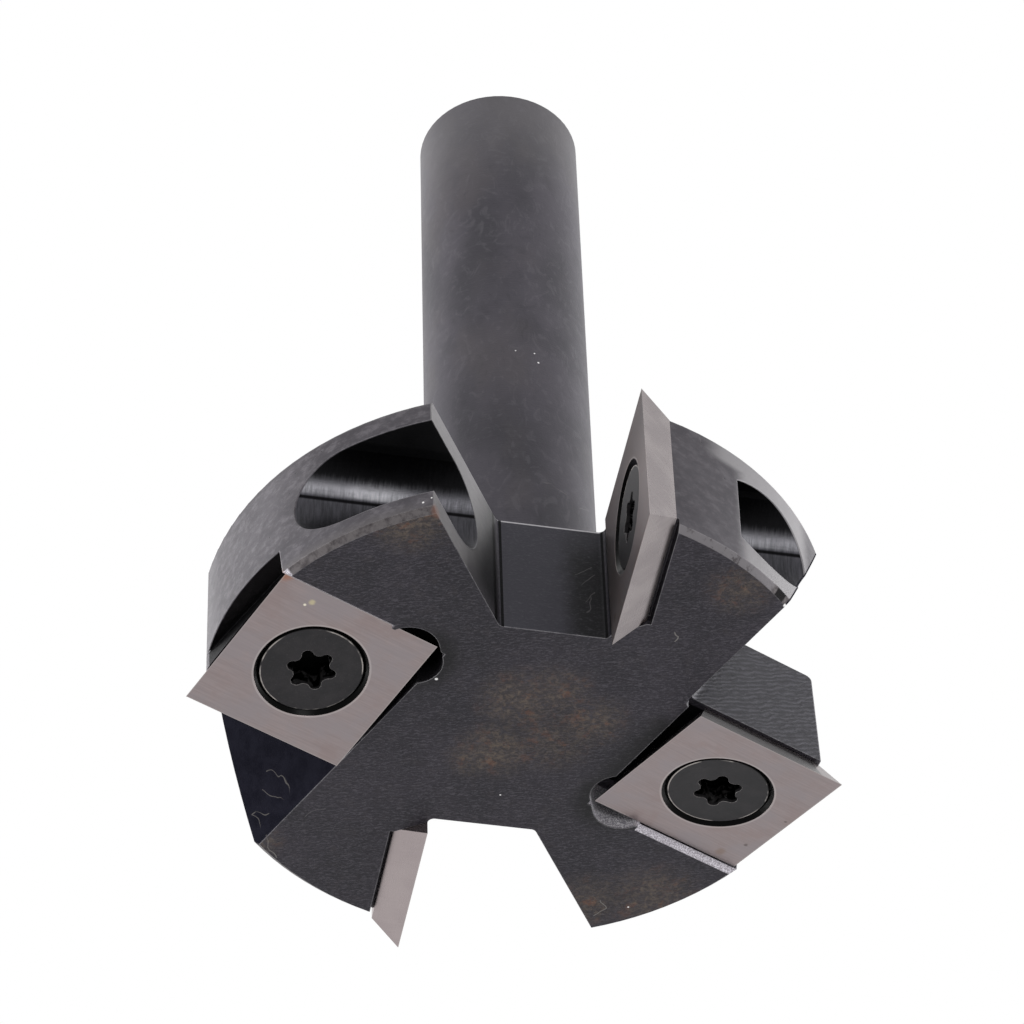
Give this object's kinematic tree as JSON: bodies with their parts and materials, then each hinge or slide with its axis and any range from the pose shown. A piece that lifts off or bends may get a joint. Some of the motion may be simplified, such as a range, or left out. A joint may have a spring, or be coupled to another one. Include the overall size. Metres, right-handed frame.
{
  "type": "surfacing router bit",
  "caption": "Router bit for surfacing: plain round shank, disc head, square carbide inserts standing at the rim and lying on the face, held by countersunk screws.",
  "frame": {"origin": "on the bit's axis, in the plane of the lower cutting edges", "axes": "+Z along the axis from the cutting edges to the shank end; the picture looks up at the cutting face from the -Y side, with +X to its right"},
  "size_m": [0.0438, 0.0418, 0.0626],
  "materials": {
    "black_oxide_steel": "black oxide, satin, worn at the edges",
    "carbide": "finely ground tungsten carbide, straight grain",
    "screw_steel": "black, satin"
  },
  "bodies": {
    "root": {"cutter_body": "black_oxide_steel", "side_insert_a": "carbide", "face_insert_a": "carbide", "side_screw_a": "screw_steel", "face_screw_a": "screw_steel", "side_insert_b": "carbide", "face_insert_b": "carbide", "side_screw_b": "screw_steel", "face_screw_b": "screw_steel"}
  },
  "joints": []
}
